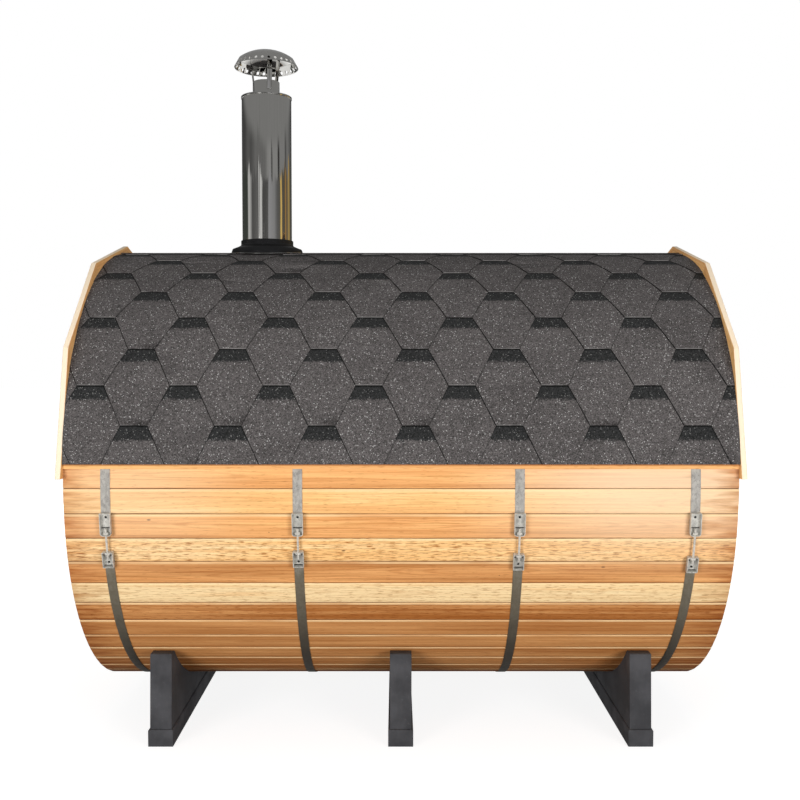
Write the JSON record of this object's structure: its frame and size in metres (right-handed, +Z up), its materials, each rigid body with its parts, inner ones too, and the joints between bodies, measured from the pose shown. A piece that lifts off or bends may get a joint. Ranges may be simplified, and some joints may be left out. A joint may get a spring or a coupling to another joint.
{
  "type": "barrel sauna",
  "caption": "Outdoor barrel sauna: lying barrel of timber staves on cradles, drawn together by steel bands, with a shingled upper half, end trim boards and a capped flue.",
  "frame": {"origin": "on the ground under the middle of the barrel, at the centre of the whole part's footprint", "axes": "+X along the barrel towards the door end, -Y towards the side with the band tensioners, +Z up"},
  "size_m": [2.44, 1.8558, 2.824],
  "materials": {
    "stave_wood": "oiled softwood staves, each of its own tone from cream to red brown, with grain, knots and water stains",
    "wall_wood": "oiled softwood boards",
    "trim_wood": "oiled softwood, pale at the cut edges",
    "galvanised_steel": "galvanised sheet steel, satin",
    "shingle": "bitumen shingles with grey mineral granules and darker shadow bands",
    "stainless_steel": "bright rolled stainless sheet",
    "black_rubber": "matt black rubber",
    "grey_painted_wood": "charcoal grey satin paint, worn at the edges"
  },
  "bodies": {
    "root": {"front_upper_staves": "stave_wood", "crown_staves": "stave_wood", "back_upper_staves": "stave_wood", "back_lower_staves": "stave_wood", "floor_staves": "stave_wood", "front_lower_staves": "stave_wood", "left_end_wall": "wall_wood", "right_end_wall_front": "wall_wood", "right_end_wall_back": "wall_wood", "right_end_wall_over_door": "wall_wood", "right_end_wall_under_door": "wall_wood", "door_leaf": "wall_wood", "door_frame": "trim_wood", "door_handle": "trim_wood", "left_trim_boards": "trim_wood", "right_trim_boards": "trim_wood", "front_roof_boards": "trim_wood", "back_roof_boards": "trim_wood", "band_1": "galvanised_steel", "band_2": "galvanised_steel", "band_3": "galvanised_steel", "band_4": "galvanised_steel", "upper_lugs": "galvanised_steel", "lower_lugs": "galvanised_steel", "tension_rods": "galvanised_steel", "door_hinges": "galvanised_steel", "front_shingles": "shingle", "back_shingles": "shingle", "ridge_shingles": "shingle", "flue_flange": "stainless_steel", "flue_insulated_pipe": "stainless_steel", "flue_top_plate": "stainless_steel", "flue_smoke_pipe": "stainless_steel", "rain_cap_brackets": "stainless_steel", "rain_cap": "stainless_steel", "flue_boot": "black_rubber", "left_cradle_base": "grey_painted_wood", "middle_cradle_base": "grey_painted_wood", "right_cradle_base": "grey_painted_wood", "left_cradle_saddle": "grey_painted_wood", "middle_cradle_saddle": "grey_painted_wood", "right_cradle_saddle": "grey_painted_wood"}
  },
  "joints": []
}
